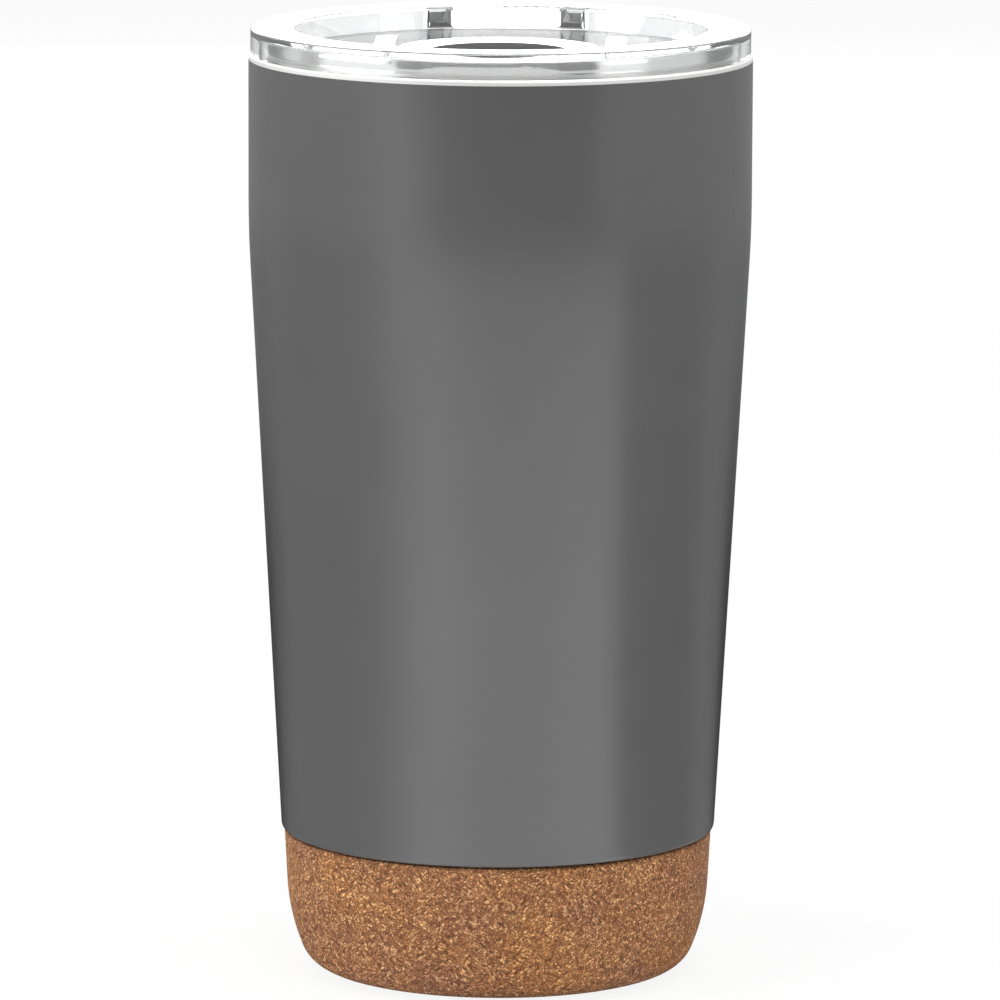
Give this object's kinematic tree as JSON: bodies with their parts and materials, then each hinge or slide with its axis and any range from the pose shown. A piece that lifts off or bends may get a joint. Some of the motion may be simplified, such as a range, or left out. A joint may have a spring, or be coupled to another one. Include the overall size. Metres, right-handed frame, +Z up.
{
  "type": "insulated tumbler",
  "caption": "Rigid double-walled steel travel tumbler with a satin grey body, cork base and clear press-on lid with a sliding drink closure.",
  "frame": {"origin": "centre of the cork base's flat underside", "axes": "+Z up along the cup's axis; -Y is the drinking side, where the lid's slot is; the slider opens towards +Y"},
  "size_m": [0.088, 0.088, 0.1665],
  "materials": {
    "painted_shell": "satin grey paint",
    "bare_steel": "brushed inside, polished lip",
    "solder": "sealing glass",
    "getter_metal": "dull",
    "cork": "agglomerated cork",
    "clear_plastic": "clear, glossy",
    "silicone": "translucent silicone",
    "grey_plastic": "dark grey, satin"
  },
  "bodies": {
    "cup": {"outer_shell": "painted_shell", "inner_liner": "bare_steel", "bottom_cap": "bare_steel", "seal_bead": "solder", "getter": "getter_metal", "getter_clip": "getter_metal", "cork_base": "cork"},
    "lid": {"lid_body": "clear_plastic", "lid_gasket": "silicone"},
    "slider": {"slider_plate": "clear_plastic", "slider_seal": "silicone", "thumb_pad": "grey_plastic"}
  },
  "joints": [
    {"name": "lid_lift", "type": "slide", "parent": "cup", "child": "lid", "axis": [0, 0, 1], "range_m": [0, 0.06]},
    {"name": "slider_slide", "type": "slide", "parent": "lid", "child": "slider", "axis": [0, 1, 0], "range_m": [0, 0.013]}
  ]
}
